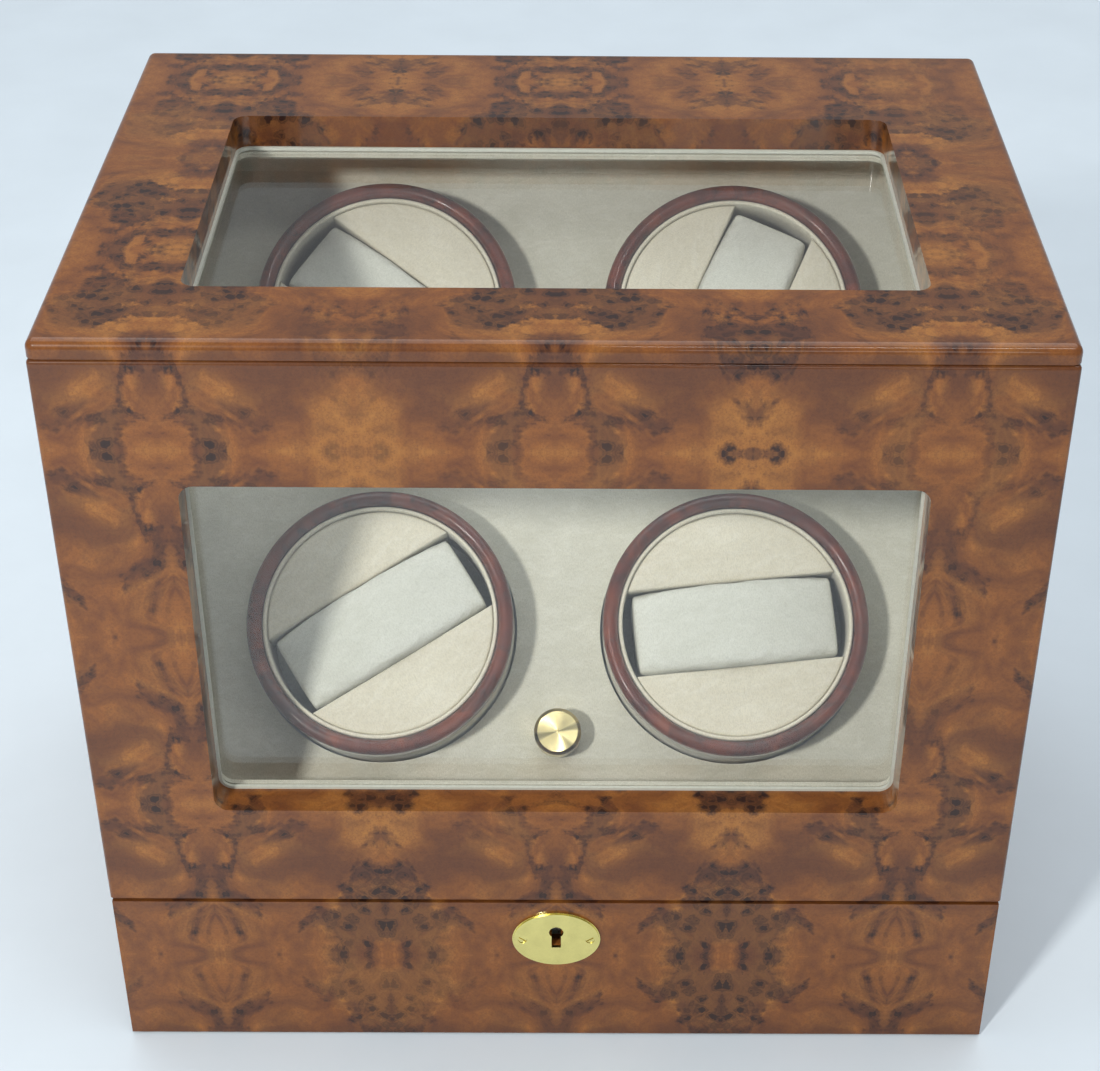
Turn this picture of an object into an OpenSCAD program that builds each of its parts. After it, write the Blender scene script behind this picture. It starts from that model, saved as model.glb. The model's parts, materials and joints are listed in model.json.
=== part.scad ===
// Watch winder box: a veneered case with a glazed lid over four turntables
// set in a sloping panel. Each turntable holds one removable watch pillow.
// X runs across the front, Y runs from front to back, Z is up.
// The origin is the centre of the underside.

/* [Case] */
// Width of the lid, the widest piece
case_w = 320; // [312:1:330]
// Depth of the case from the front face to the back face
case_d = 235; // [233:1:250]
// Height of the case with the lid shut
case_h = 294; // [292:1:304]
// Height of the plinth below the front of the lid
base_h = 67; // [62:1:70]
// Thickness of the lid boards
board_t = 18; // [17:0.5:20]
// Thickness of the side boards
side_t = 15; // [12:0.5:16]
// Thickness of the back board
back_t = 9; // [6:0.5:10]
// How far the lid stands proud of each side of the case
reveal = 0.6; // [0.2:0.1:1.5]
// Radius of the top edges of the lid
edge_r = 3; // [2:0.5:5]
// Thickness of the lip of the lid top over the front and sides
lip_t = 6; // [5:0.5:8]

/* [Windows] */
// Width of both windows
win_w = 237; // [210:1:245]
// Height of the lower edge of the front window
front_win_z = 110; // [104:1:120]
// Height of the front window
front_win_h = 133; // [110:1:136]
// Distance from the front face to the top window
top_win_y = 37; // [32:1:45]
// Depth of the top window from front to back
top_win_d = 135; // [110:1:145]
// Corner radius of the windows
win_r = 5; // [2:0.5:8]
// Thickness of the glass
glass_t = 3; // [2:0.5:3]
// Depth of the glass below the face of the board
glass_in = 13; // [11:0.5:13]

/* [Winder panel] */
// Angle of the panel above the horizontal
slope = 45; // [44:0.5:46]
// Distance of the lower turntable centres from the front face
low_y = 89.4; // [88:0.2:91]
// Height of the lower turntable centres
low_z = 123.9; // [122:0.2:126]
// Thickness of the panel
panel_t = 9; // [6:0.5:9]
// Thickness of the suede on the panel
suede_t = 0.8; // [0.5:0.1:1]

/* [Turntables] */
// Distance between turntable centres across the case
pitch_x = 131.2; // [128:0.2:136]
// Distance between turntable centres up the slope
pitch_v = 118; // [117:0.5:121]
// Outer radius of the turntable drum
drum_r = 49; // [47:0.2:49.4]
// Height of the drum body in front of the panel
drum_rise = 15; // [12:0.5:18]
// Width of the wooden ring
ring_w = 5.6; // [4:0.1:6]
// Turn of the lower left turntable at rest
turn_ll = 32; // [0:1:180]
// Turn of the lower right turntable at rest
turn_lr = 6; // [0:1:180]
// Turn of the upper left turntable at rest
turn_ul = 143; // [0:1:180]
// Turn of the upper right turntable at rest
turn_ur = 66; // [0:1:180]

/* [Pillows] */
// Length of a pillow
pillow_l = 75; // [66:0.5:76]
// Width of a pillow
pillow_w = 31; // [28:0.5:31.4]
// Depth of a pillow
pillow_d = 35; // [31:0.5:35]
// Radius of the pillow ends
pillow_r = 8; // [4:0.5:12]

/* [Hardware] */
// Diameter of the control knob
knob_d = 17.5; // [14:0.5:20]
// Height of the control knob
knob_h = 12; // [9:0.5:14]
// Distance of the knob below the lower turntable centres, along the slope
knob_v = 39.5; // [38:0.5:41]
// Width of the keyhole plate
plate_w = 32; // [30:1:36]
// Height of the keyhole plate
plate_h = 25.5; // [22:0.5:27]
// Height of the centre of the keyhole plate
plate_z = 50; // [49:0.5:51]
// Height of the round part of the keyhole
key_z = 53.6; // [53:0.2:54]

/* [Hidden] */
$fn = 64;

felt_t = 0.8;               // felt under the case
plate_t = 1.2;              // keyhole plate
knuckle_r = 2.6;            // hinge knuckle
pin_out = 2.3;              // hinge pin behind the back face
knuckle_out = pin_out + knuckle_r;
yf = -((case_d + knuckle_out) - plate_t) / 2;   // front face, so that the origin is centred
case_x = case_w / 2 - reveal;                   // outside of the side boards
in_x = case_x - side_t;                         // inside of the side boards
gap = 0.8;                                      // lid to case, in depth
z_lid0 = base_h + 1.6;                          // lower edge of the lid front
z_lip = case_h - lip_t;                         // underside of the lid lip
z_thick = case_h - board_t;                     // underside of the lid top
z_rail = z_thick - 0.6;                         // top of the rear rail
rail_y = case_d - 18;                           // front of the rear rail
lin_t = 1;                                      // case linings
lid_in = in_x - lin_t - 0.6;                    // half width of the thick part of the lid top
front_back = board_t + gap;                     // back of the plinth front
pin_y = case_d + pin_out;
pin_z = z_thick - 0.3;
hinge_x = 95;
hinge_l = 50;
plate_w0 = -34;                                 // back of the mechanism plate
plate_w1 = -31;                                 // front of the mechanism plate
drum_b = -22;                                   // back of a drum
floor_w = -14.2;                                  // drum floor
cav_r = drum_r - 5.4;                           // drum cavity
line_r = drum_r - 7.2;                          // inside of the drum lining
chan = 15.9;                                    // half width of the pillow channel
groove_low = -13.2;
groove_up = -18.2;
groove_r = 46;
pul_r = 5;
deck_z = base_h - 1;
BLACK = [0.07, 0.07, 0.07];
BURL = [0.48, 0.27, 0.14];
SUEDE = [0.76, 0.75, 0.69];
PILLOW = [0.80, 0.80, 0.76];
BRASS = [0.80, 0.68, 0.32];
GLASS = [0.80, 0.88, 0.86, 0.3];
STEEL = [0.62, 0.63, 0.65];

module in_case() { translate([0, yf, 0]) children(); }
// local X across, local Y up the slope, local Z out of the panel
module on_slope() { translate([0, yf + low_y, low_z]) rotate([slope, 0, 0]) children(); }
module at_drum(sx, up) { on_slope() translate([sx * pitch_x / 2, up * pitch_v, 0]) children(); }

module box(x0, x1, y0, y1, z0, z1) { translate([x0, y0, z0]) cube([x1 - x0, y1 - y0, z1 - z0]); }
module tube(ro, ri, z0, z1) {
  translate([0, 0, z0]) difference() {
    cylinder(r = ro, h = z1 - z0);
    translate([0, 0, -1]) cylinder(r = ri, h = z1 - z0 + 2);
  }
}
module rod(r, z0, z1) { translate([0, 0, z0]) cylinder(r = r, h = z1 - z0); }
// slab with rounded top edges and upright corners, square underneath
module crowned_slab(w, d, h, r) {
  box(-w / 2 + r, w / 2 - r, 0, d, 0, h - r);
  box(-w / 2, w / 2, r, d - r, 0, h - r);
  box(-w / 2 + r, w / 2 - r, r, d - r, 0, h);
  for (x = [-w / 2 + r, w / 2 - r]) {
    for (y = [r, d - r]) {
      translate([x, y, 0]) cylinder(r = r, h = h - r);
      translate([x, y, h - r]) sphere(r = r);
    }
    translate([x, d - r, h - r]) rotate([90, 0, 0]) cylinder(r = r, h = d - 2 * r);
  }
  for (y = [r, d - r]) translate([-w / 2 + r, y, h - r]) rotate([0, 90, 0]) cylinder(r = r, h = w - 2 * r);
}
// straight-sided hole with round corners, cut along Z
module window_cut(x0, x1, y0, y1, z0, z1, r) {
  box(x0 + r, x1 - r, y0, y1, z0, z1);
  box(x0, x1, y0 + r, y1 - r, z0, z1);
  for (x = [x0 + r, x1 - r]) for (y = [y0 + r, y1 - r]) translate([x, y, z0]) cylinder(r = r, h = z1 - z0);
}
// turns a shape drawn flat, with its back at z = 0, to stand up and face the front
module upright() { multmatrix([[1, 0, 0, 0], [0, 0, -1, 0], [0, 1, 0, 0], [0, 0, 0, 1]]) children(); }
module bead_ring(x0, x1, y0, y1, z0, z1, r, t) {
  difference() {
    window_cut(x0, x1, y0, y1, z0, z1, r);
    window_cut(x0 + t, x1 - t, y0 + t, y1 - t, z0 - 1, z1 + 1, r - t);
  }
}
// brass wood screw with its head at z = 0, pointing down
module wood_screw(l, r, rh) {
  difference() {
    union() { rod(r, -l, -0.9); rod(rh, -0.9, 0); }
    box(-rh - 1, rh + 1, -0.25, 0.25, -0.45, 1);
  }
}

// ---------- case ----------
module keyhole_cut(y0, y1) {
  translate([0, y1, key_z]) rotate([90, 0, 0]) cylinder(r = 2.6, h = y1 - y0);
  box(-1.7, 1.7, y0, y1, 46.2, key_z);
}
module base_front() { color(BURL) in_case() difference() {
  box(-case_x, case_x, 0, front_back, felt_t, base_h);
  keyhole_cut(-1, 20);
  box(-22, 22, 6, 20, 38, base_h + 1);
} }
module side_board(s) {
  color(BURL) in_case() difference() {
    box(min(s * in_x, s * case_x), max(s * in_x, s * case_x), front_back, case_d, felt_t, z_lip - 0.6);
  }
}
module side_panel_left() { side_board(-1); }
module side_panel_right() { side_board(1); }
jack_x = 104; jack_z = 40;
module back_panel() { color(BURL) in_case() difference() {
  box(-in_x, in_x, case_d - back_t, case_d, 15, 240);
  translate([jack_x, case_d + 1, jack_z]) rotate([90, 0, 0]) cylinder(r = 4.1, h = back_t + 2);
  for (x = [-136, 0, 136]) for (z = [22, 224]) translate([x, case_d + 1, z]) rotate([90, 0, 0]) cylinder(r = 1.6, h = back_t + 2);
  for (x = [-136, 136]) translate([x, case_d + 1, 123]) rotate([90, 0, 0]) cylinder(r = 1.6, h = back_t + 2);
} }
module rear_rail() { color(BURL) in_case() difference() {
  box(-in_x, in_x, rail_y, case_d, 240, z_rail);
  for (s = [-1, 1]) box(s * hinge_x - hinge_l / 2, s * hinge_x + hinge_l / 2, case_d - 13, case_d + 1, z_rail - 1.1, z_rail + 1);
} }
module bottom_board() { color([0.55, 0.44, 0.32]) in_case() difference() {
  box(-in_x, in_x, front_back, case_d, felt_t, 15);
  for (x = [-60, -40, -20, 20, 40, 60]) box(x - 2, x + 2, 120, 170, -1, 16);
} }
module base_felt() { color([0.10, 0.10, 0.11]) in_case() difference() {
  box(-case_x + 2, case_x - 2, 2, case_d - 2, 0, felt_t);
  for (x = [-60, -40, -20, 20, 40, 60]) box(x - 3, x + 3, 118, 172, -1, 2);
} }
module deck_board() { color(SUEDE) in_case() box(-in_x, in_x, front_back, 62, deck_z - 9, deck_z); }

module panel_shape(w0, w1, hole, kn) {
  difference() {
    on_slope() translate([-in_x + 0.4, -110, w0]) cube([2 * in_x - 0.8, 310, w1 - w0]);
    in_case() box(-200, 200, 0, 120, 0, deck_z + 0.1);
    in_case() box(-200, 200, rail_y - 0.2, 300, 200, 400);
    for (s = [-1, 1]) for (u = [0, 1]) at_drum(s, u) rod(hole, -30, 10);
    on_slope() translate([0, -knob_v, 0]) rod(kn, -30, 10);
  }
}
module winder_panel() { color([0.60, 0.50, 0.38]) panel_shape(-suede_t - panel_t, -suede_t, drum_r + 1.4, 4.2); }
module panel_suede() { color(SUEDE) panel_shape(-suede_t, 0, drum_r + 1.0, 3.8); }
module case_linings() { color(SUEDE) {
  for (s = [-1, 1]) difference() {
    in_case() box(min(s * in_x, s * (in_x - lin_t)), max(s * in_x, s * (in_x - lin_t)), front_back, rail_y, deck_z + 0.2, z_rail - 0.4);
    on_slope() translate([-200, -300, -400]) cube([400, 700, 400.1]);
  }
  difference() {
    in_case() box(-in_x + lin_t + 0.2, in_x - lin_t - 0.2, rail_y - lin_t, rail_y, 220, z_rail - 0.4);
    on_slope() translate([-200, -300, -400]) cube([400, 700, 400.1]);
  }
} }
module panel_cleats() { color([0.70, 0.58, 0.42]) for (s = [-1, 1])
  on_slope() box(min(s * 131, s * (in_x - 0.02)), max(s * 131, s * (in_x - 0.02)), -55, 160, -suede_t - panel_t - 15, -suede_t - panel_t); }
so_pts = [[-118, -18], [118, -18], [-118, 138], [118, 138], [0, 12], [0, 126]];
module mechanism_plate() { color([0.55, 0.56, 0.58]) on_slope() difference() {
  box(-126, 126, -56, 146, plate_w0, plate_w1);
  for (p = so_pts) translate([p[0], p[1], 0]) rod(1.7, plate_w0 - 1, plate_w1 + 1);
  for (s = [-1, 1]) translate([s * pitch_x / 2, pitch_v / 2, 0]) rod(4, plate_w0 - 1, plate_w1 + 1);
  for (s = [-1, 1]) for (u = [0, 1]) translate([s * pitch_x / 2, u * pitch_v, 0]) rod(3.05, plate_w0 - 1, plate_w1 + 1);
  translate([0, -knob_v, 0]) rod(12.5, plate_w0 - 1, plate_w1 + 1);
  for (x = [-95, -32, 32, 95]) for (v = [20, 98]) translate([x * 1.02, v - 0, 0]) rod(0.9, plate_w0 - 1, plate_w1 + 1);
} }
module standoffs() { color(STEEL) on_slope() for (p = so_pts) translate([p[0], p[1], 0]) difference() {
  rod(3.5, plate_w1, -suede_t - panel_t);
  rod(1.4, plate_w1 - 1, plate_w1 + 10);
} }
module axle_studs() { color(STEEL) for (s = [-1, 1]) for (u = [0, 1]) at_drum(s, u) difference() {
  union() { rod(3, plate_w0 + 0.1, floor_w + 0.1); rod(6, plate_w1, -29.4); }
  rod(1.5, floor_w - 8, floor_w + 2);
} }
module plate_screws() { color(STEEL) {
  on_slope() for (p = so_pts) translate([p[0], p[1], 0]) difference() {
    union() { rod(1.35, plate_w0, plate_w1 + 8); rod(3, plate_w0 - 2, plate_w0); }
    box(-4, 4, -0.4, 0.4, plate_w0 - 3, plate_w0 - 1.2);
  }
  for (s = [-1, 1]) for (u = [0, 1]) at_drum(s, u) difference() {
    union() { rod(1.4, floor_w - 7, floor_w + 0.1); rod(5.2, floor_w + 0.1, floor_w + 2); }
    box(-4, 4, -0.5, 0.5, floor_w + 1.1, floor_w + 3);
  }
} }
module drive_motors() { color([0.45, 0.46, 0.48]) for (s = [-1, 1]) on_slope() translate([s * pitch_x / 2, pitch_v / 2, 0]) difference() {
  union() {
    rod(12, plate_w0 - 27, plate_w0);
    rod(5, plate_w0 - 29, plate_w0 - 27);
    rod(3.6, plate_w0, plate_w0 + 2);
    for (a = [-1, 1]) translate([a * 6, 0, 0]) box(-1.2, 1.2, -0.4, 0.4, plate_w0 - 32, plate_w0 - 27);
  }
  rod(1.08, plate_w0 - 16, plate_w0 + 3);
} }
// flat outline of a belt round a drum and a pulley d away
function arc(r, cx, cy, a0, a1, n) = [for (i = [0:n]) let (a = a0 + (a1 - a0) * i / n) [cx + r * cos(a), cy + r * sin(a)]];
function belt_line(ra, rb, d, n) = let (t = asin((ra - rb) / d))
  concat(arc(ra, 0, 0, 180 - t, 360 + t, n), arc(rb, 0, d, t, 180 - t, 10));
module belt(d, w) {
  translate([0, 0, w - 1.2]) linear_extrude(height = 2.4) difference() {
    polygon(belt_line(groove_r + 2.6, pul_r + 2.6, d, 40));
    polygon(belt_line(groove_r + 0.25, pul_r + 0.25, d, 40));
  }
}
module drive_belts() { color(BLACK) for (s = [-1, 1]) {
  at_drum(s, 0) belt(pitch_v / 2, groove_low);
  at_drum(s, 1) rotate([0, 0, 180]) belt(pitch_v / 2, groove_up);
} }
module motor_pulley(s) { color([0.85, 0.85, 0.82]) on_slope() translate([s * pitch_x / 2, pitch_v / 2, 0]) {
  difference() {
    rod(7, -22.5, -10.6);
    for (w = [groove_low, groove_up]) tube(9, pul_r, w - 1.5, w + 1.5);
  }
  rod(1, plate_w0 - 14, -22.5);
} }
module motor_pulley_left() { motor_pulley(-1); }
module motor_pulley_right() { motor_pulley(1); }
module control_board() { color([0.10, 0.35, 0.20]) on_slope() {
  difference() {
    box(-42, 42, -54, 8, -48, -46.4);
    translate([0, -knob_v, 0]) rod(2.2, -50, -45);
  }
  for (x = [-30, -16, 18, 30]) translate([x, 0, 0]) box(-5, 5, -8, 2, -46.4, -43.2);
  for (x = [-26, 26]) translate([x, -34, 0]) rod(4, -46.4, -38);
  box(-10, 10, -20, -12, -46.4, -41);
  for (x = [-38, 38]) for (v = [-50, 4]) translate([x, v, 0]) tube(2.6, 1.2, -46.4, plate_w0);
} }
module rotary_switch() { color([0.25, 0.28, 0.40]) on_slope() translate([0, -knob_v, 0]) {
  difference() {
    union() { rod(10.5, -34, -20); rod(3.6, -20, -1.5); rod(6.5, -20, -suede_t - panel_t); }
    rod(3.06, -30, 2);
  }
  for (a = [0:60:300]) rotate([0, 0, a]) translate([8.5, 0, 0]) box(-0.6, 0.6, -0.3, 0.3, -46, -34);
} }
module switch_shaft() { color(STEEL) on_slope() translate([0, -knob_v, 0]) rod(3, -29.5, 8.5); }
module control_knob() { color(BRASS) on_slope() translate([0, -knob_v, 0]) {
  difference() {
    union() {
      rod(knob_d / 2, 2.2, knob_h + 0.2);
      rod(knob_d / 2 - 0.7, 1.2, knob_h + 0.9);
    }
    rod(3, 0, 8.5);
  }
} }
module dc_jack() { color(BLACK) in_case() translate([jack_x, case_d, jack_z]) rotate([-90, 0, 0]) {
  difference() {
    union() { rod(4, -back_t - 16, 0); rod(6, 0, 1.5); }
    rod(2.8, -12, 3);
  }
  rod(1, -12, -1.5);
  difference() { rod(6.2, -back_t - 3, -back_t); rod(4, -back_t - 5, -back_t + 1); }
  for (x = [-2.5, 2.5]) translate([x, 0, 0]) box(-1, 1, -0.4, 0.4, -back_t - 20, -back_t - 16);
} }
module case_screws() { color(STEEL) {
  in_case() {
    for (x = [-136, 0, 136]) for (z = [22, 224]) translate([x, case_d, z]) rotate([-90, 0, 0]) back_screw();
    for (x = [-136, 136]) translate([x, case_d, 123]) rotate([-90, 0, 0]) back_screw();
    for (s = [-1, 1]) for (x = [-17, 0, 17]) translate([s * hinge_x + x, case_d - 8.5, z_rail]) wood_screw(10, 1.1, 1.9);
  }
} }
module back_screw() {
  difference() {
    union() { rod(1.5, -back_t - 0.0, 0); rod(3.2, 0, 1.4); }
    box(-0.4, 0.4, -4, 4, 0.7, 3);
    box(-4, 4, -0.4, 0.4, 0.7, 3);
  }
}
// ---------- lock ----------
module escutcheon() { color(BRASS) in_case() difference() {
  translate([0, 0, plate_z]) rotate([90, 0, 0]) union() {
    linear_extrude(height = 0.7) scale([plate_w / plate_h, 1]) circle(d = plate_h, $fn = 96);
    translate([0, 0, 0.7]) linear_extrude(height = plate_t - 0.7) scale([(plate_w - 0.9) / (plate_h - 0.9), 1]) circle(d = plate_h - 0.9, $fn = 96);
  }
  translate([0, 1, key_z]) rotate([90, 0, 0]) cylinder(r = 2.6, h = 4);
  box(-1.7, 1.7, -3, 1, 46.2, key_z);
  for (s = [-1, 1]) translate([s * 12.3, 1, plate_z]) rotate([90, 0, 0]) cylinder(r = 1.65, h = 4);
} }
module escutcheon_screws() { color(BRASS) in_case() for (s = [-1, 1]) translate([s * 12.3, -plate_t + 0.25, plate_z]) rotate([90, 0, 0]) difference() {
  union() { rod(0.9, -6.2, -0.9); rod(1.6, -0.9, 0); }
  rotate([0, 0, 35 * s]) box(-3, 3, -0.25, 0.25, -0.5, 1);
} }
module lock_case() { color(STEEL) in_case() {
  difference() {
    box(-20, 20, 6, 16.4, 40, base_h);
    box(-17.5, 17.5, 8.2, 14.6, 42, base_h - 1.6);
    box(-6.3, 6.3, 9.2, 13.6, base_h - 3, base_h + 1);
    translate([0, 9, key_z]) rotate([90, 0, 0]) cylinder(r = 2.6, h = 4);
    box(-1.7, 1.7, 5, 9, 46.2, key_z);
  }
  translate([0, 14.6, key_z]) rotate([90, 0, 0]) cylinder(r = 0.9, h = 7);
} }
module lock_bolt() { color(BRASS) in_case() difference() {
  union() {
    box(-5.8, 5.8, 9.6, 13.2, 57.6, base_h - 0.2);
    box(-14, 14, 9.6, 13.2, 57.6, 60.4);
  }
  box(-3, 3, 9, 14, 56, 58.4);
} }
module strike_plate() { color(BRASS) in_case() difference() {
  box(-17, 17, 5.4, 17.4, z_lid0, z_lid0 + 1.2);
  box(-6.6, 6.6, 9, 13.8, z_lid0 - 1, z_lid0 + 2);
  for (s = [-1, 1]) translate([s * 12.5, 11.4, z_lid0 - 1]) cylinder(r = 1.6, h = 3);
} }
module lid_bumpers() { color(BLACK) in_case() for (s = [-1, 1]) translate([s * 150, 9, base_h]) cylinder(r = 3, h = 1.3); }
// ---------- hinges ----------
module hinge_leaf(lid) {
  // five knuckles: the case leaf has 1, 3 and 5, the lid leaf 2 and 4
  kl = hinge_l / 5;
  for (s = [-1, 1]) translate([s * hinge_x - hinge_l / 2, 0, 0]) difference() {
    union() {
      difference() {
        box(0, hinge_l, case_d - 13, case_d + pin_out, lid ? z_thick : z_rail - 1.1, lid ? z_thick + 1.1 : z_rail);
        for (i = [0:4]) if ((i % 2 == 0) == lid) box(i * kl - 0.15, (i + 1) * kl + 0.15, case_d - 1, case_d + 10, pin_z - 5, pin_z + 5);
      }
      for (i = [0:4]) if ((i % 2 == 0) != lid)
        translate([i * kl + 0.1, pin_y, pin_z]) rotate([0, 90, 0]) cylinder(r = knuckle_r, h = kl - 0.2);
    }
    translate([-1, pin_y, pin_z]) rotate([0, 90, 0]) cylinder(r = 1.26, h = hinge_l + 2);
    for (x = [8, 25, 42]) translate([x, case_d - 8.5, z_rail - 5]) cylinder(r = 1.95, h = 12);
  }
}
module hinge_leaves_case() { color(BRASS) in_case() hinge_leaf(false); }
module hinge_leaves_lid() { color(BRASS) in_case() hinge_leaf(true); }
module hinge_pins() { color(STEEL) in_case() for (s = [-1, 1]) translate([s * hinge_x - hinge_l / 2, pin_y, pin_z]) rotate([0, 90, 0]) cylinder(r = 1.2, h = hinge_l); }
module hinge_screws_lid() { color(BRASS) in_case() for (s = [-1, 1]) for (x = [-17, 0, 17])
  translate([s * hinge_x + x, case_d - 8.5, z_thick]) mirror([0, 0, 1]) wood_screw(10, 1.1, 1.9); }
// ---------- wiring ----------
module wire(pts, r) {
  for (i = [0:len(pts) - 2]) let (a = pts[i], b = pts[i + 1], v = b - a, l = norm(v))
    translate(a) rotate([0, acos(v[2] / l), atan2(v[1], v[0])]) cylinder(r = r, h = l, $fn = 24);
  for (p = pts) translate(p) sphere(r = r, $fn = 24);
}
module wiring() { color([0.15, 0.15, 0.16]) {
  in_case() wire([[jack_x, 204, jack_z], [jack_x, 192, 32], [90, 150, 22], [60, 120, 20], [36, 118, 30], [30, 121.5, 48]], 1.5);
  for (s = [-1, 1]) on_slope() wire([[s * 65.6, 59, -67.6], [s * 60, 50, -72], [s * 44, 28, -66], [s * 33, 8, -55], [s * 30, -1, -50.5]], 1.2);
} }
// ---------- lid ----------
module lid_top_frame() { color(BURL) in_case() difference() {
  translate([0, 0, z_thick]) crowned_slab(case_w, case_d, board_t, edge_r);
  // rebates over the front board and the side boards
  box(-case_w, case_w, -1, board_t, z_thick - 1, z_lip);
  for (s = [-1, 1]) box(min(s * lid_in, s * case_w), max(s * lid_in, s * case_w), -1, case_d + 1, z_thick - 1, z_lip);
  window_cut(-win_w / 2, win_w / 2, top_win_y, top_win_y + top_win_d, z_thick - 1, case_h + 1, win_r);
  window_cut(-win_w / 2 - 5, win_w / 2 + 5, top_win_y - 5, top_win_y + top_win_d + 5, z_thick - 1, case_h - glass_in, win_r + 2);
  for (s = [-1, 1]) box(s * hinge_x - hinge_l / 2, s * hinge_x + hinge_l / 2, case_d - 13, case_d + 1, z_thick - 1, z_thick + 1.1);
} }
module lid_front_frame() { color(BURL) in_case() difference() {
  translate([0, board_t, z_lid0 - edge_r]) upright() translate([0, 0, 0]) front_slab(case_w, z_lip - 0.4 - z_lid0 + edge_r, board_t, 1.5);
  box(-200, 200, -5, 30, 0, z_lid0);
  translate([0, board_t + 1, 0]) upright() window_cut(-win_w / 2, win_w / 2, front_win_z, front_win_z + front_win_h, 0, board_t + 3, win_r);
  translate([0, board_t + 1, 0]) upright() window_cut(-win_w / 2 - 5, win_w / 2 + 5, front_win_z - 5, front_win_z + front_win_h + 5, 0, board_t + 1 - glass_in, win_r + 2);
  box(-17, 17, 5.4, 17.4, z_lid0 - 1, z_lid0 + 1.2);
  box(-7, 7, 8.8, 14, z_lid0 - 1, z_lid0 + 9);
} }
module front_slab(w, h, t, r) { crowned_slab(w, h, t, r); }
module top_glass() { color(GLASS) in_case()
  window_cut(-win_w / 2 - 4.4, win_w / 2 + 4.4, top_win_y - 4.4, top_win_y + top_win_d + 4.4, case_h - glass_in - glass_t, case_h - glass_in - 0.05, win_r + 2); }
module front_glass() { color(GLASS) in_case() translate([0, glass_in + glass_t, 0]) upright()
  window_cut(-win_w / 2 - 4.4, win_w / 2 + 4.4, front_win_z - 4.4, front_win_z + front_win_h + 4.4, 0, glass_t - 0.05, win_r + 2); }
module glass_beads() { color([0.82, 0.83, 0.78]) in_case() {
  translate([0, 0, case_h - glass_in]) bead_ring(-win_w / 2, win_w / 2, top_win_y, top_win_y + top_win_d, 0, 1.2, win_r, 1);
  translate([0, glass_in, 0]) upright() bead_ring(-win_w / 2, win_w / 2, front_win_z, front_win_z + front_win_h, 0, 1.2, win_r, 1);
} }
module glass_stops() { color(SUEDE) in_case() {
  difference() {
    window_cut(-win_w / 2 - 4.8, win_w / 2 + 4.8, top_win_y - 4.8, top_win_y + top_win_d + 4.8, z_thick, case_h - glass_in - glass_t - 0.02, win_r + 2);
    window_cut(-win_w / 2, win_w / 2, top_win_y, top_win_y + top_win_d, z_thick - 1, case_h, win_r);
  }
  translate([0, board_t, 0]) upright() difference() {
    window_cut(-win_w / 2 - 4.8, win_w / 2 + 4.8, front_win_z - 4.8, front_win_z + front_win_h + 4.8, 0, board_t - glass_in - glass_t - 0.02, win_r + 2);
    window_cut(-win_w / 2, win_w / 2, front_win_z, front_win_z + front_win_h, -1, 10, win_r);
  }
} }
module lid_corner_blocks() { color(BURL) in_case() for (s = [-1, 1])
  translate([s * 131, 0, 0]) difference() {
    box(-9, 9, board_t + 0.05, board_t + 14, z_thick - 14, z_thick - 0.05);
    translate([-20, board_t + 14, z_thick - 14]) rotate([-45, 0, 0]) translate([0, -0.1, -20]) cube([40, 20, 40]);
  } }
// ---------- turntables ----------
module drum(s, u, a) { color([0.20, 0.19, 0.18]) at_drum(s, u) difference() {
  union() { rod(drum_r, drum_b, drum_rise); rod(8, -29, drum_b); }
  rod(cav_r, floor_w, drum_rise + 1);
  rod(3.05, -30, floor_w + 1);
  tube(drum_r + 2, groove_r, (u == 0 ? groove_low : groove_up) - 1.6, (u == 0 ? groove_low : groove_up) + 1.6);
} }
module drum_ring(s, u, a) { color([0.42, 0.20, 0.14]) at_drum(s, u) rotate_extrude($fn = 128) {
  translate([drum_r + 0.2 - ring_w, drum_rise]) square([ring_w, 4]);
  translate([drum_r + 0.2 - ring_w / 2, drum_rise + 4]) circle(r = ring_w / 2, $fn = 48);
} }
module face(s, u, a) { color(SUEDE) at_drum(s, u) rotate([0, 0, a]) {
  tube(cav_r - 0.2, line_r, floor_w, drum_rise + 5.2);
  for (m = [0, 180]) rotate([0, 0, m]) difference() {
    rod(line_r - 0.1, floor_w, drum_rise + 4.2);
    translate([-60, -60, -40]) cube([120, 60 + chan, 80]);
  }
} }
module pillow(s, u, a) { color(PILLOW) at_drum(s, u) rotate([0, 0, a]) translate([0, pillow_w / 2, drum_rise + 8 - pillow_d]) rotate([90, 0, 0]) {
  l = pillow_l; d = pillow_d; r = pillow_r;
  box(-l / 2 + r, l / 2 - r, 0, d, 0, pillow_w);
  box(-l / 2, l / 2, r, d - r, 0, pillow_w);
  for (x = [-l / 2 + r, l / 2 - r]) for (y = [r, d - r]) translate([x, y, 0]) cylinder(r = r, h = pillow_w);
} }
module drum_lower_left() { drum(-1, 0, turn_ll); }
module drum_lower_right() { drum(1, 0, turn_lr); }
module drum_upper_left() { drum(-1, 1, turn_ul); }
module drum_upper_right() { drum(1, 1, turn_ur); }
module ring_lower_left() { drum_ring(-1, 0, turn_ll); }
module ring_lower_right() { drum_ring(1, 0, turn_lr); }
module ring_upper_left() { drum_ring(-1, 1, turn_ul); }
module ring_upper_right() { drum_ring(1, 1, turn_ur); }
module face_lower_left() { face(-1, 0, turn_ll); }
module face_lower_right() { face(1, 0, turn_lr); }
module face_upper_left() { face(-1, 1, turn_ul); }
module face_upper_right() { face(1, 1, turn_ur); }
module pillow_lower_left() { pillow(-1, 0, turn_ll); }
module pillow_lower_right() { pillow(1, 0, turn_lr); }
module pillow_upper_left() { pillow(-1, 1, turn_ul); }
module pillow_upper_right() { pillow(1, 1, turn_ur); }

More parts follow.
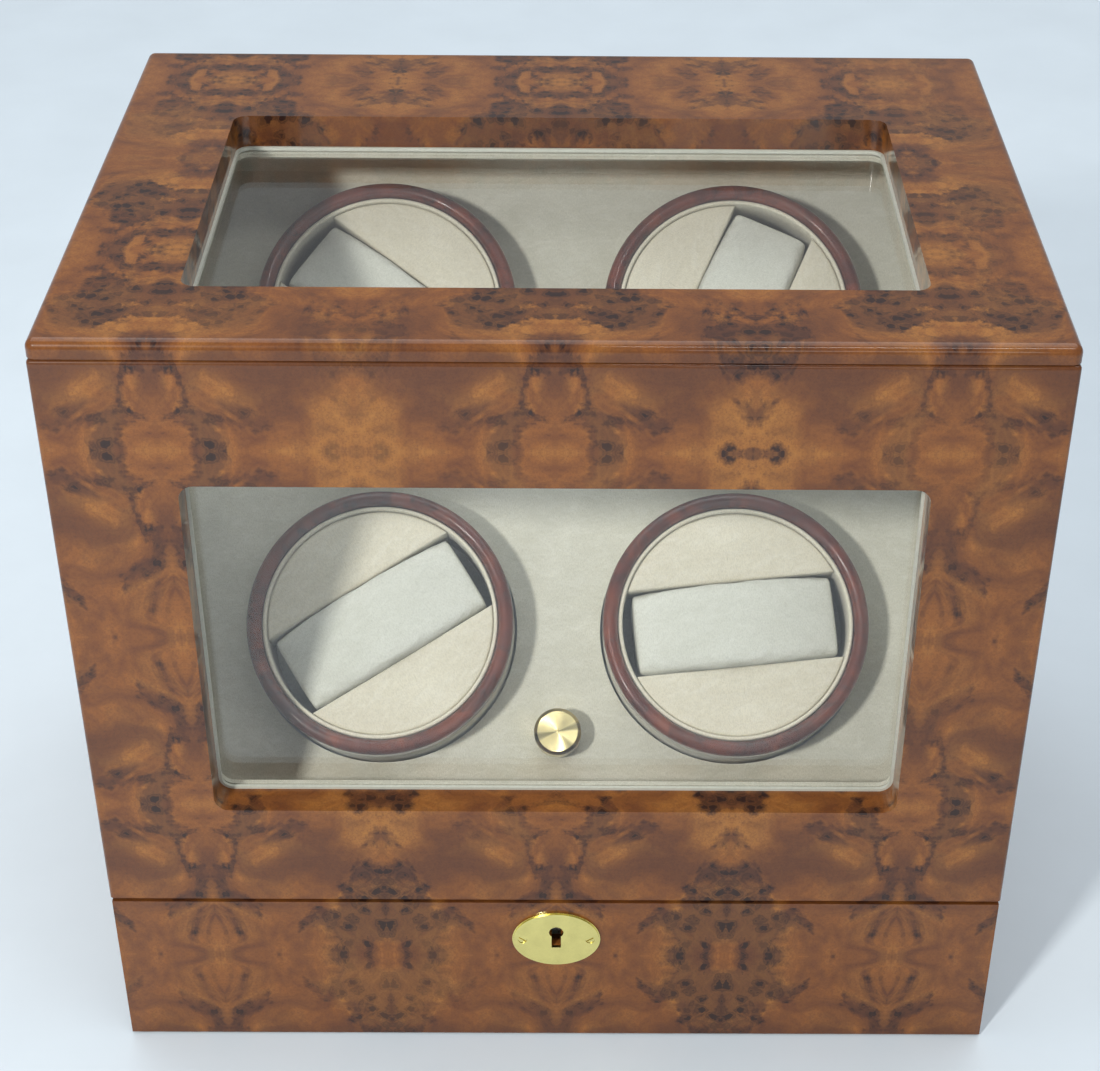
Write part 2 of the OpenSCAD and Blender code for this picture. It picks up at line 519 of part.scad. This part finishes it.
base_front();
side_panel_left();
side_panel_right();
back_panel();
rear_rail();
bottom_board();
base_felt();
deck_board();
winder_panel();
panel_suede();
case_linings();
panel_cleats();
mechanism_plate();
standoffs();
axle_studs();
plate_screws();
drive_motors();
drive_belts();
control_board();
rotary_switch();
dc_jack();
case_screws();
escutcheon();
escutcheon_screws();
lock_case();
lid_bumpers();
hinge_leaves_case();
hinge_pins();
wiring();
lid_top_frame();
lid_front_frame();
top_glass();
front_glass();
glass_beads();
glass_stops();
hinge_leaves_lid();
hinge_screws_lid();
strike_plate();
lid_corner_blocks();
control_knob();
switch_shaft();
lock_bolt();
motor_pulley_left();
motor_pulley_right();
drum_lower_left();
drum_lower_right();
drum_upper_left();
drum_upper_right();
ring_lower_left();
ring_lower_right();
ring_upper_left();
ring_upper_right();
face_lower_left();
face_lower_right();
face_upper_left();
face_upper_right();
pillow_lower_left();
pillow_lower_right();
pillow_upper_left();
pillow_upper_right();
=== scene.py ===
import json
import math
import random

import bpy
import bmesh
from mathutils import Matrix, Vector


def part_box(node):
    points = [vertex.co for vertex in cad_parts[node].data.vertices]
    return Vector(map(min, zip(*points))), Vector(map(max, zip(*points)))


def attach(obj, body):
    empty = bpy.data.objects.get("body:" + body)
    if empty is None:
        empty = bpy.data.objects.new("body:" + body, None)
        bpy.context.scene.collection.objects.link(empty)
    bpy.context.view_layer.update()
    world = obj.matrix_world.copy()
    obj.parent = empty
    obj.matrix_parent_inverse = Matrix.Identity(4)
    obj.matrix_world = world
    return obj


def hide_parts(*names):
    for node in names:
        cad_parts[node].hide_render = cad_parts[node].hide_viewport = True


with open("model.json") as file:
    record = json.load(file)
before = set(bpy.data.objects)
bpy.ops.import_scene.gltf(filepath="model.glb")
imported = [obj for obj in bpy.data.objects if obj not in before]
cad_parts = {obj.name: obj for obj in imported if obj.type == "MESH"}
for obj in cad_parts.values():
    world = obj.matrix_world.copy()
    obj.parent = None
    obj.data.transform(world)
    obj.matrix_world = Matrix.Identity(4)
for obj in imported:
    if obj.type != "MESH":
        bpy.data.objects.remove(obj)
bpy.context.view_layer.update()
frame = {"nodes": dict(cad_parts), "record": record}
nodes = frame["nodes"]
MM = 0.001
KEYS = {"lower_left": 32, "lower_right": 6, "upper_left": 143, "upper_right": 66}
COL, DRUM_R, RISE = 65.6, 49.0, 15.0


# ---------------------------------------------------------------- materials
def srgb(r, g, b):
    def f(c):
        c /= 255
        return c / 12.92 if c <= 0.04045 else ((c + 0.055) / 1.055) ** 2.4
    return (f(r), f(g), f(b), 1.0)


class Tree:
    def __init__(self, name):
        self.m = bpy.data.materials.new(name)
        self.m.use_nodes = True
        self.t = self.m.node_tree
        self.p = self.t.nodes["Principled BSDF"]
        self.c = self.t.nodes.new("ShaderNodeTexCoord")

    def n(self, kind, **kw):
        x = self.t.nodes.new("ShaderNode" + kind)
        for k, v in kw.items():
            setattr(x, k, v)
        return x

    def l(self, a, b):
        self.t.links.new(a, b)

    def math(self, op, a, b=None, clamp=False):
        x = self.n("Math", operation=op, use_clamp=clamp)
        for i, v in enumerate((a, b)):
            if v is None:
                continue
            if isinstance(v, (int, float)):
                x.inputs[i].default_value = v
            else:
                self.l(v, x.inputs[i])
        return x.outputs[0]

    def scaled(self, vec, s):
        x = self.n("Mapping")
        x.inputs["Scale"].default_value = s if isinstance(s, tuple) else (s, s, s)
        self.l(vec, x.inputs["Vector"])
        return x.outputs[0]

    def noise(self, vec, scale, detail=4, rough=0.55, dist=0.0):
        x = self.n("TexNoise")
        x.inputs["Scale"].default_value = scale
        x.inputs["Detail"].default_value = detail
        x.inputs["Roughness"].default_value = rough
        x.inputs["Distortion"].default_value = dist
        self.l(vec, x.inputs["Vector"])
        return x

    def ramp(self, fac, stops, mode="LINEAR"):
        x = self.n("ValToRGB")
        x.color_ramp.interpolation = mode
        while len(x.color_ramp.elements) < len(stops):
            x.color_ramp.elements.new(0.5)
        for e, (p, c) in zip(x.color_ramp.elements, stops):
            e.position = p
            e.color = c if isinstance(c, tuple) else (c, c, c, 1)
        self.l(fac, x.inputs["Fac"])
        return x.outputs["Color"]

    def mix(self, fac, a, b, mode="MIX"):
        x = self.n("Mix", data_type="RGBA", blend_type=mode)
        for s, v in ((x.inputs[0], fac), (x.inputs[6], a), (x.inputs[7], b)):
            if isinstance(v, (tuple, int, float)):
                s.default_value = v
            else:
                self.l(v, s)
        return x.outputs[2]

    def bump(self, h, strength, dist, normal=None):
        x = self.n("Bump")
        x.inputs["Strength"].default_value = strength
        x.inputs["Distance"].default_value = dist
        self.l(h, x.inputs["Height"])
        if normal is not None:
            self.l(normal, x.inputs["Normal"])
        return x.outputs[0]

    def set(self, **kw):
        for k, v in kw.items():
            self.p.inputs[k.replace("_", " ")].default_value = v


def burl(name, tones, off=(0.0, 0.0, 0.0), size=1.0, period=(0.0615, 0.0717, 0.0717), eyes=1.0):
    """Book-matched burl: the figure is mirrored at the edge of every leaf of veneer."""
    t = Tree(name)
    sep = t.n("SeparateXYZ")
    t.l(t.c.outputs["Object"], sep.inputs[0])
    com = t.n("CombineXYZ")
    for i in range(3):
        v = sep.outputs[i]
        v = t.math("ADD", v, -off[i])
        if period:
            v = t.math("PINGPONG", v, period[i])
        t.l(v, com.inputs[i])
    base = com.outputs[0]
    # the figure wanders, so everything is read through a warped coordinate
    w = t.noise(base, 22 / size, 3, 0.5)
    sub = t.n("VectorMath", operation="SUBTRACT")
    sub.inputs[1].default_value = (0.5, 0.5, 0.5)
    t.l(w.outputs["Color"], sub.inputs[0])
    sc = t.n("VectorMath", operation="SCALE")
    sc.inputs["Scale"].default_value = 0.030 * size
    t.l(sub.outputs[0], sc.inputs[0])
    add = t.n("VectorMath", operation="ADD")
    t.l(base, add.inputs[0])
    t.l(sc.outputs[0], add.inputs[1])
    v = add.outputs[0]
    light, mid, deep, dark, core = tones
    flow = t.noise(v, 38 / size, 6, 0.6, 0.6).outputs["Fac"]
    col = t.ramp(flow, [(0.30, deep), (0.46, mid), (0.62, light), (0.80, mid)])
    streak = t.noise(t.scaled(v, (1.0, 1.0, 0.28)), 260 / size, 5, 0.65, 1.2).outputs["Fac"]
    col = t.mix(t.ramp(streak, [(0.40, 0.0), (0.75, 0.42)]), col, deep)
    smudge = t.noise(v, 30 / size, 5, 0.62, 0.9).outputs["Color"]
    ssep = t.n("SeparateColor")
    t.l(smudge, ssep.inputs[0])
    col = t.mix(t.ramp(ssep.outputs[1], [(0.50, 0.0), (0.66, 0.55 * eyes)]), col, dark)
    # clusters of eyes
    clus = t.ramp(t.noise(base, 34 / size, 5, 0.62, 0.5).outputs["Fac"], [(0.475, 0.0), (0.535, 1.0)])
    ev = t.noise(base, 300 / size, 2, 0.5)
    sub2 = t.n("VectorMath", operation="SUBTRACT")
    sub2.inputs[1].default_value = (0.5, 0.5, 0.5)
    t.l(ev.outputs["Color"], sub2.inputs[0])
    sc2 = t.n("VectorMath", operation="SCALE")
    sc2.inputs["Scale"].default_value = 0.0046 * size
    t.l(sub2.outputs[0], sc2.inputs[0])
    add2 = t.n("VectorMath", operation="ADD")
    t.l(base, add2.inputs[0])
    t.l(sc2.outputs[0], add2.inputs[1])
    vor = t.n("TexVoronoi")
    vor.inputs["Scale"].default_value = 215 / size
    vor.inputs["Randomness"].default_value = 1.0
    t.l(add2.outputs[0], vor.inputs["Vector"])
    eye = t.ramp(vor.outputs["Distance"], [(0.0, 1.0), (0.30, 0.95), (0.40, 0.25), (0.50, 0.60), (0.62, 0.10), (0.75, 0.0)])
    cs = t.n("SeparateColor")
    t.l(vor.outputs["Color"], cs.inputs[0])
    keep = t.ramp(cs.outputs[0], [(0.12, 0.0), (0.22, 1.0)])
    thin = t.ramp(t.noise(t.c.outputs["Object"], 11 / size, 2, 0.5).outputs["Fac"], [(0.36, 0.35), (0.52, 1.0)])
    clus = t.math("MULTIPLY", clus, thin)
    m = t.math("MULTIPLY", t.math("MULTIPLY", eye, clus), keep, True)
    m = t.math("MULTIPLY", m, 0.92 * eyes)
    col = t.mix(t.math("MULTIPLY", clus, 0.62 * eyes), col, dark)
    col = t.mix(m, col, core)
    pore = t.noise(base, 1500 / size, 3, 0.7).outputs["Fac"]
    col = t.mix(t.ramp(pore, [(0.35, 0.30), (0.55, 0.0)]), col, dark)
    t.l(col, t.p.inputs["Base Color"])
    t.set(Roughness=0.30, Coat_Weight=0.85, Coat_Roughness=0.03, Coat_IOR=1.42, Specular_IOR_Level=0.12)
    peel = t.noise(t.c.outputs["Object"], 90, 2, 0.4).outputs["Fac"]
    t.l(t.bump(peel, 0.05, 0.0006), t.p.inputs["Coat Normal"])
    t.l(t.bump(pore, 0.05, 0.0002), t.p.inputs["Normal"])
    return t.m


def suede(name, a, b, nap=1.0, seed=0.0):
    t = Tree(name)
    v = t.c.outputs["Object"]
    mp = t.n("Mapping")
    mp.inputs["Location"].default_value = (seed, seed * 0.7, -seed)
    t.l(v, mp.inputs["Vector"])
    v = mp.outputs[0]
    big = t.noise(v, 28, 4, 0.6, 0.8).outputs["Fac"]
    col = t.ramp(big, [(0.32, a), (0.68, b)])
    fib = t.noise(t.scaled(v, (1, 0.45, 0.45)), 2600, 3, 0.7).outputs["Fac"]
    dk = tuple(c * 0.72 for c in a[:3]) + (1,)
    col = t.mix(t.ramp(fib, [(0.30, 0.55), (0.60, 0.0)]), col, dk)
    brush = t.noise(t.scaled(v, (1, 2.2, 2.2)), 120, 5, 0.7, 1.5).outputs["Fac"]
    col = t.mix(t.ramp(brush, [(0.45, 0.0), (0.75, 0.16)]), col, (1, 1, 0.97, 1))
    t.l(col, t.p.inputs["Base Color"])
    t.set(Roughness=0.95, Sheen_Weight=0.12, Sheen_Roughness=0.5, Specular_IOR_Level=0.12)
    n1 = t.bump(fib, 0.35 * nap, 0.0004)
    t.l(t.bump(brush, 0.25 * nap, 0.0006, n1), t.p.inputs["Normal"])
    return t.m


def brass(name, col=(0.84, 0.74, 0.28), rough=0.2, brushed=0.0, spun=False):
    t = Tree(name)
    v = t.c.outputs["Object"]
    big = t.noise(v, 160, 4, 0.6).outputs["Fac"]
    c = t.ramp(big, [(0.3, tuple(x * 0.90 for x in col) + (1,)), (0.7, tuple(min(1, x * 1.05) for x in col) + (1,))])
    t.l(c, t.p.inputs["Base Color"])
    t.set(Metallic=1.0)
    r = t.noise(t.scaled(v, (1, 6, 6)) if not spun else v, 900, 4, 0.7).outputs["Fac"]
    rr = t.n("MapRange")
    rr.inputs["To Min"].default_value = rough * 0.7
    rr.inputs["To Max"].default_value = rough * 1.4
    t.l(r, rr.inputs["Value"])
    t.l(rr.outputs[0], t.p.inputs["Roughness"])
    if spun:
        sep = t.n("SeparateXYZ")
        t.l(v, sep.inputs[0])
        rad = t.math("SQRT", t.math("ADD", t.math("MULTIPLY", sep.outputs[0], sep.outputs[0]), t.math("MULTIPLY", sep.outputs[1], sep.outputs[1])))
        g = t.math("SINE", t.math("MULTIPLY", rad, 2 * math.pi / 0.0005))
        t.l(t.bump(g, 0.10, 0.00001), t.p.inputs["Normal"])
        ang = t.math("ARCTAN2", sep.outputs[1], sep.outputs[0])
        # painted reflection: four light and dark wedges around the centre are painted into the base colour, standing
        # in for the highlights that lamps make on a spun face
        painted_reflection_wedge = t.math("SINE", t.math("ADD", t.math("MULTIPLY", ang, 4.0), t.math("SINE", t.math("MULTIPLY", ang, 2.0))))
        c2 = t.mix(t.ramp(painted_reflection_wedge, [(0.2, 0.0), (0.9, 0.85)]), c, tuple(x * 0.32 for x in col) + (1,))
        t.l(c2, t.p.inputs["Base Color"])
        tan = t.n("Tangent", direction_type="RADIAL", axis="Z")
        t.l(tan.outputs[0], t.p.inputs["Tangent"])
        t.set(Anisotropic=0.95)
    else:
        t.l(t.bump(r, 0.06, 0.0001), t.p.inputs["Normal"])
    return t.m


def plain(name, col, rough, metal=0.0, scale=700, vary=0.12, bump=0.1, coat=0.0):
    t = Tree(name)
    v = t.c.outputs["Object"]
    a = t.noise(v, scale, 4, 0.6).outputs["Fac"]
    lo_ = tuple(x * (1 - vary) for x in col[:3]) + (1,)
    hi_ = tuple(min(1, x * (1 + vary)) for x in col[:3]) + (1,)
    t.l(t.ramp(a, [(0.3, lo_), (0.7, hi_)]), t.p.inputs["Base Color"])
    rr = t.n("MapRange")
    rr.inputs["To Min"].default_value = rough * 0.85
    rr.inputs["To Max"].default_value = min(1, rough * 1.15)
    t.l(a, rr.inputs["Value"])
    t.l(rr.outputs[0], t.p.inputs["Roughness"])
    t.set(Metallic=metal, Coat_Weight=coat)
    t.l(t.bump(a, bump, 0.0002), t.p.inputs["Normal"])
    return t.m


def wood_raw(name, a, b):
    t = Tree(name)
    v = t.scaled(t.c.outputs["Object"], (0.12, 1, 1))
    g = t.noise(v, 420, 5, 0.65, 1.0).outputs["Fac"]
    t.l(t.ramp(g, [(0.3, a), (0.7, b)]), t.p.inputs["Base Color"])
    t.set(Roughness=0.75)
    t.l(t.bump(g, 0.2, 0.0002), t.p.inputs["Normal"])
    return t.m


def glass(name):
    t = Tree(name)
    t.set(Base_Color=(0.99, 1.0, 0.99, 1), Roughness=0.0, IOR=1.48, Transmission_Weight=1.0)
    v = t.c.outputs["Object"]
    wav = t.noise(v, 9, 1, 0.3).outputs["Fac"]
    t.l(t.bump(wav, 0.02, 0.0004), t.p.inputs["Normal"])
    lp = t.n("LightPath")
    tr = t.n("BsdfTransparent")
    tr.inputs[0].default_value = (0.97, 0.98, 0.97, 1)
    mx = t.n("MixShader")
    f = t.math("MAXIMUM", lp.outputs["Is Shadow Ray"], lp.outputs["Is Diffuse Ray"])
    t.l(f, mx.inputs[0])
    t.l(t.p.outputs[0], mx.inputs[1])
    t.l(tr.outputs[0], mx.inputs[2])
    t.l(mx.outputs[0], t.t.nodes["Material Output"].inputs["Surface"])
    return t.m


BURL_TONES = (srgb(164, 108, 48), srgb(136, 82, 35), srgb(103, 58, 28), srgb(62, 33, 26), srgb(24, 12, 14))
M = {
    "burl_veneer": burl("burl_veneer", BURL_TONES, off=(0.0, 0.0150, 0.0410)),
    "plywood": wood_raw("plywood", srgb(176, 146, 108), srgb(204, 178, 140)),
    "base_felt": suede("base_felt", srgb(28, 28, 31), srgb(40, 40, 43)),
    "suede": suede("suede", srgb(198, 195, 180), srgb(214, 211, 197)),
    "zinc_plate": plain("zinc_plate", (0.50, 0.51, 0.53), 0.38, 1.0, 120, 0.2),
    "steel": plain("steel", (0.62, 0.63, 0.65), 0.28, 1.0, 900),
    "motor_steel": plain("motor_steel", (0.45, 0.46, 0.48), 0.35, 1.0, 400),
    "rubber": plain("rubber", (0.03, 0.03, 0.03), 0.8, 0.0, 1500, 0.2),
    "board_green": plain("board_green", (0.03, 0.16, 0.07), 0.35, 0.0, 900, 0.25),
    "switch_body": plain("switch_body", (0.06, 0.08, 0.18), 0.5),
    "black_plastic": plain("black_plastic", (0.02, 0.02, 0.022), 0.45, 0.0, 1800, 0.2),
    "brass": brass("brass"),
    "clear_glass": glass("clear_glass"),
    "bead": plain("bead", srgb(196, 198, 186), 0.35, 0.0, 800, 0.06),
    "pulley_plastic": plain("pulley_plastic", (0.72, 0.72, 0.68), 0.5),
    "drum": suede("drum", srgb(190, 186, 170), srgb(208, 204, 188), seed=0.3),
    "ring_wood": burl("ring_wood", (srgb(126, 62, 40), srgb(104, 46, 32), srgb(78, 34, 25), srgb(54, 24, 20), srgb(30, 14, 13)), size=0.6, period=None, eyes=0.7),
    "suede_pad": suede("suede_pad", srgb(212, 204, 184), srgb(224, 217, 198), seed=0.9),
    "pillow_suede": suede("pillow_suede", srgb(210, 210, 199), srgb(223, 223, 214), seed=1.7),
}
SLOT = {s["node"]: s["material_slot"] for s in frame["record"]["subparts"]}
for n, o in nodes.items():
    o.data.materials.clear()
    o.data.materials.append(M[SLOT[n]])


# ---------------------------------------------------------------- places
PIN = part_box("escutcheon")
YF = PIN[1].y / MM              # the front face of the case
C45 = math.cos(math.radians(45))


def on_slope(x, v, w=0.0):
    return Vector((x, YF + 89.4 + v * C45 - w * C45, 123.9 + v * C45 + w * C45)) * MM


def frame_at(x, v, turn=0.0):
    return Matrix.Translation(on_slope(x, v)) @ Matrix.Rotation(math.radians(45), 4, "X") @ Matrix.Rotation(math.radians(turn), 4, "Z")


def add(name, verts, faces, mat, mw, body, slot, smooth=True):
    me = bpy.data.meshes.new(name)
    me.from_pydata([tuple(c * MM for c in v) for v in verts], [], faces)
    me.update()
    bm = bmesh.new()
    bm.from_mesh(me)
    bmesh.ops.remove_doubles(bm, verts=bm.verts, dist=1e-6)
    bmesh.ops.recalc_face_normals(bm, faces=bm.faces)
    bm.to_mesh(me)
    bm.free()
    if smooth:
        me.shade_smooth()
    o = bpy.data.objects.new(name, me)
    bpy.context.scene.collection.objects.link(o)
    o.matrix_world = mw
    me.materials.append(mat)
    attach(o, body)
    return o


def lathe(profile, seg=128, close=False):
    vs, fs = [], []
    n = len(profile)
    for i in range(seg):
        a = 2 * math.pi * i / seg
        for r, z in profile:
            vs.append((r * math.cos(a), r * math.sin(a), z))
    for i in range(seg):
        j = (i + 1) % seg
        for k in range(n if close else n - 1):
            k2 = (k + 1) % n
            fs.append((i * n + k, j * n + k, j * n + k2, i * n + k2))
    return vs, fs


# ---------------------------------------------------------------- pads
def pad_mesh(seed, R=41.75, chan=15.95, top=19.0, low=2.0):
    """A half-moon cushion: arc and chord outline, domed and pulled down along its edge."""
    rnd = random.Random(seed)
    a0 = math.asin(chan / R)
    out = []
    for i in range(61):
        a = a0 + (math.pi - 2 * a0) * i / 60
        out.append((R * math.cos(a), R * math.sin(a)))
    x1 = out[-1][0]
    for i in range(1, 40):
        out.append((x1 + (out[0][0] - x1) * i / 40, chan))
    cx, cy = 0.0, chan + (R - chan) * 0.42
    # each ring is a plain distance in from the edge
    steps = [(0.0, low), (0.0, top - 1.9), (0.12, top - 1.1), (0.45, top - 0.52), (1.0, top - 0.22), (1.8, top - 0.08), (3.0, top), (5.0, top + 0.12), (8.0, top + 0.25), (11.0, top + 0.32)]
    waves = [(rnd.uniform(0.05, 0.13), rnd.uniform(0.05, 0.12), rnd.uniform(0, 6.28), rnd.uniform(0, 6.28)) for _ in range(4)]

    def bumpy(x, y):
        return sum(0.07 * math.sin(x * a + p) * math.cos(y * b + q) for a, b, p, q in waves)
    vs, rows = [], []
    for d, z in steps:
        row = []
        for (x, y) in out:
            L = math.hypot(x - cx, y - cy)
            s = max(0.0, 1 - d / max(L, 0.001) * (1.0 if d < 4 else 1.0))
            px, py = cx + (x - cx) * s, cy + (y - cy) * s
            row.append(len(vs))
            vs.append((px, py, z + (bumpy(px, py) if d > 0.5 else 0)))
        rows.append(row)
    ci = len(vs)
    vs.append((cx, cy, top + 0.34))
    fs = []
    n = len(out)
    for r0, r1 in zip(rows, rows[1:]):
        for i in range(n):
            j = (i + 1) % n
            fs.append((r0[i], r0[j], r1[j], r1[i]))
    for i in range(n):
        fs.append((rows[-1][i], rows[-1][(i + 1) % n], ci))
    bi = len(vs)
    vs.append((cx, cy, low))
    for i in range(n):
        fs.append((rows[0][(i + 1) % n], rows[0][i], bi))
    return vs, fs


# ---------------------------------------------------------------- pillow
def pillow_mesh(nx=48):
    """Foam block in a suede sleeve: crowned along its length, pulled in at its ends."""
    L, W, zb, zt = 37.2, 15.1, -11.4, 22.9
    vs, fs = [], []
    m = 12

    def ring(x):
        t = abs(x) / L
        top = zt - 7.0 * t ** 2.1
        bot = zb + 2.0 * t ** 3
        w = W - 0.5 * t ** 4
        e = 1.6
        pts = []
        # corners of a rounded rectangle, counted round
        for (sx, sz) in ((1, 1), (-1, 1), (-1, -1), (1, -1)):
            cy_, cz_ = sx * (w - e), (top - e) if sz > 0 else (bot + e)
            a0 = {(1, 1): 0, (-1, 1): 90, (-1, -1): 180, (1, -1): 270}[(sx, sz)]
            for k in range(m // 4 + 1):
                a = math.radians(a0 + 90 * k / (m // 4))
                pts.append((x, cy_ + e * math.cos(a), cz_ + e * math.sin(a)))
        # the long faces get points of their own
        full = []
        for i, p in enumerate(pts):
            q = pts[(i + 1) % len(pts)]
            full.append(p)
            d = math.dist(p, q)
            if d > 4:
                k = 10
                for j in range(1, k):
                    s = j / k
                    y = p[1] + (q[1] - p[1]) * s
                    z = p[2] + (q[2] - p[2]) * s
                    full.append((x, y, z + (0.5 * math.sin(math.pi * s) if abs(p[2] - q[2]) < 0.1 and z > 0 else 0)))
        return full
    xs = [L * math.sin(math.pi / 2 * (2 * i / nx - 1)) for i in range(nx + 1)]
    first = None
    prev = None
    for x in xs:
        r = ring(x)
        idx = list(range(len(vs), len(vs) + len(r)))
        vs += r
        if prev is not None:
            n = len(idx)
            for i in range(n):
                j = (i + 1) % n
                fs.append((prev[i], prev[j], idx[j], idx[i]))
        else:
            first = idx
        prev = idx
    fs.append(tuple(reversed(first)))
    fs.append(tuple(prev))
    return vs, fs


def stuff(o, seed, cap=0.0009):
    """Swells a closed piece with a short cloth run, then keeps each point within cap of where it began."""
    rnd = random.Random(seed)
    bpy.context.view_layer.objects.active = o
    for x in bpy.context.selected_objects:
        x.select_set(False)
    o.select_set(True)
    r = o.modifiers.new("remesh", "REMESH")
    r.mode = "VOXEL"
    r.voxel_size = 0.0016
    bpy.ops.object.modifier_apply(modifier=r.name)
    rest = [v.co.copy() for v in o.data.vertices]
    sc = bpy.context.scene
    c = o.modifiers.new("cloth", "CLOTH")
    c.settings.quality = 4
    c.settings.mass = 0.2
    c.settings.use_pressure = True
    c.settings.uniform_pressure_force = 4
    c.settings.tension_stiffness = 20
    c.settings.compression_stiffness = 20
    c.settings.bending_stiffness = 0.6
    c.settings.effector_weights.gravity = 0
    c.collision_settings.use_collision = False
    c.point_cache.frame_start = 1
    c.point_cache.frame_end = 20
    for f in range(1, 21):
        sc.frame_set(f)
    bpy.ops.object.modifier_apply(modifier=c.name)
    sc.frame_set(1)
    ph = [rnd.uniform(0, 6.28) for _ in range(6)]
    for v, q in zip(o.data.vertices, rest):
        d = v.co - q
        if not (d.length < 1):
            d = Vector()
        if d.length > cap:
            d = d * (cap / d.length)
        x, y = q.x / MM, q.y / MM
        k = 0.16 * math.sin(x * 0.21 + ph[0]) * math.cos(y * 0.33 + ph[1]) + 0.10 * math.sin(x * 0.47 + y * 0.31 + ph[2])
        v.co = q + d + Vector((0, 0, k * MM if q.z > 0.01 else 0))
    s = o.modifiers.new("smooth", "SMOOTH")
    s.factor, s.iterations = 0.5, 2
    bpy.ops.object.modifier_apply(modifier=s.name)
    sub = o.modifiers.new("subdivision", "SUBSURF")
    sub.levels = sub.render_levels = 1
    bpy.ops.object.modifier_apply(modifier=sub.name)
    o.data.shade_smooth()


for key, turn in KEYS.items():
    x = -COL if key.endswith("left") else COL
    v = 0.0 if key.startswith("lower") else 118.0
    mw = frame_at(x, v, turn)
    body = "turntable_" + key
    # piped lip between the ring and the pads
    prof = [(41.85, -6.0), (41.85, 18.4)]
    for i in range(13):
        a = math.pi * (1 - i / 12)
        prof.append((42.6 + 0.75 * math.cos(a), 19.0 + 0.95 * math.sin(a)))
    prof += [(43.35, 18.2), (43.35, -6.0)]
    vs, fs = lathe(prof, 160, close=True)
    lip = add("lip_" + key, vs, fs, M["suede_pad"], mw, body, "suede_pad")
    pads = []
    for side in (0, 1):
        vs, fs = pad_mesh(len(key) * 7 + side)
        p = add(f"pad_{key}_{'ab'[side]}", vs, fs, M["suede_pad"], mw @ Matrix.Rotation(math.pi * side, 4, "Z"), body, "suede_pad")
        pads.append(p)
    for p in [lip] + pads:
        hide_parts("face_" + key)
    vs, fs = pillow_mesh()
    o = add("cushion_" + key, vs, fs, M["pillow_suede"], mw, "pillow_body_" + key, "pillow_suede")
    stuff(o, 11 + len(key) + (3 if "left" in key else 0))
    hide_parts("pillow_" + key)

# ---------------------------------------------------------------- knob
KR = (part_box("control_knob")[1].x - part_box("control_knob")[0].x) / 2 / MM
prof = [(0.0, 12.72), (0.35, 12.66), (0.6, 12.82), (KR - 1.5, 12.86), (KR - 1.3, 12.84), (KR - 0.45, 12.1), (KR - 0.05, 11.75), (KR - 0.02, 11.4), (KR - 0.02, 3.6), (KR - 0.1, 3.1), (KR - 0.7, 2.4), (KR - 0.8, 1.3), (0.0, 1.25)]
vs, fs = lathe(prof, 160)
# the knob's spun brass has painted reflection wedges in its base colour, on top of its real spun grooves and radial
# anisotropy
M["brass_spun_painted_wedges"] = brass("brass_spun_painted_wedges", (0.90, 0.76, 0.38), 0.30, spun=True)
knob = add("knob_spun", vs, fs, M["brass_spun_painted_wedges"], frame_at(0, -39.5), "knob", "brass")
knob.data.set_sharp_from_angle(angle=math.radians(25))
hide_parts("control_knob")

# ---------------------------------------------------------------- stage
def stage_mesh(name, verts, faces, mat):
    me = bpy.data.meshes.new(name)
    me.from_pydata(verts, [], faces)
    o = bpy.data.objects.new(name, me)
    bpy.context.scene.collection.objects.link(o)
    me.materials.append(mat)
    return o


S = 3.0
floor_mat = plain("floor_pale", (0.70, 0.78, 0.84), 0.55, 0.0, 14, 0.02, 0.0)
stage_mesh("floor", [(-S, -S, 0), (S, -S, 0), (S, S, 0), (-S, S, 0)], [(0, 1, 2, 3)], floor_mat)


def area(name, loc, target, size, power, col=(1, 1, 1)):
    l = bpy.data.lights.new(name, "AREA")
    l.shape = "RECTANGLE"
    l.size, l.size_y = size
    l.energy = power
    l.color = col
    o = bpy.data.objects.new(name, l)
    bpy.context.scene.collection.objects.link(o)
    o.location = loc
    o.rotation_euler = (Vector(target) - Vector(loc)).to_track_quat("-Z", "Y").to_euler()
    return o


area("key", (-0.60, -1.15, 0.98), (0, 0, 0.15), (0.12, 0.12), 15.0, (1.0, 0.98, 0.95))
area("ceiling", (0.0, 0.9, 2.3), (0, 0.5, 0), (3.2, 2.6), 44.0, (0.95, 0.98, 1.0))
area("front_fill", (0.4, -2.4, 1.1), (0, 0, 0.15), (0.5, 0.5), 2.0)
area("strip", (0.35, -0.62, 1.35), (0.05, 0, 0.2), (0.7, 0.04), 2.2)
w = bpy.data.worlds.new("studio")
bpy.context.scene.world = w
w.use_nodes = True
w.node_tree.nodes["Background"].inputs[0].default_value = (0.86, 0.90, 0.95, 1)
w.node_tree.nodes["Background"].inputs[1].default_value = 0.36

# ---------------------------------------------------------------- camera
cam = bpy.data.cameras.new("cam")
co = bpy.data.objects.new("cam", cam)
bpy.context.scene.collection.objects.link(co)
r = (0.999961, -0.003112, 0.008225)
u = (-0.004954, 0.573468, 0.819213)
b = (-0.007266, -0.819222, 0.573430)
co.matrix_world = Matrix(((r[0], u[0], b[0], 0.0077), (r[1], u[1], b[1], -0.7056), (r[2], u[2], b[2], 0.6130), (0, 0, 0, 1)))
cam.sensor_width = 36
cam.lens = 72.220
cam.shift_x, cam.shift_y = -0.04107, 0.05333
cam.clip_start = 0.01
bpy.context.scene.camera = co
bpy.context.scene.view_settings.view_transform = "Standard"

bpy.context.view_layer.update()
